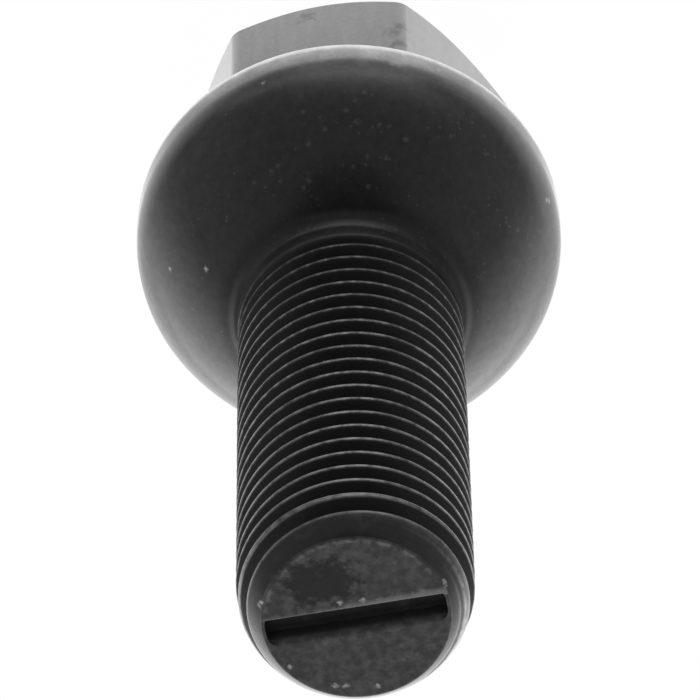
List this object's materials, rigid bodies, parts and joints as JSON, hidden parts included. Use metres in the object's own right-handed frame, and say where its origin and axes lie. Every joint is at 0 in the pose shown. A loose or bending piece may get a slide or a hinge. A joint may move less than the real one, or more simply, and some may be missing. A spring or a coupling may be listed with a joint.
{
  "type": "wheel bolt",
  "caption": "One-piece black wheel bolt with a crowned hexagon head, a ball seat collar and a fully threaded shank with a rounded, slotted end.",
  "frame": {"origin": "middle of the flat top of the hexagon head, on the bolt's axis", "axes": "+Z along the axis towards the threaded end, with two flats of the hexagon facing along Y"},
  "size_m": [0.0268, 0.0268, 0.0582],
  "materials": {
    "black_steel": "black phosphate, semi-matte"
  },
  "bodies": {
    "root": {"wheel_bolt": "black_steel"}
  },
  "joints": []
}
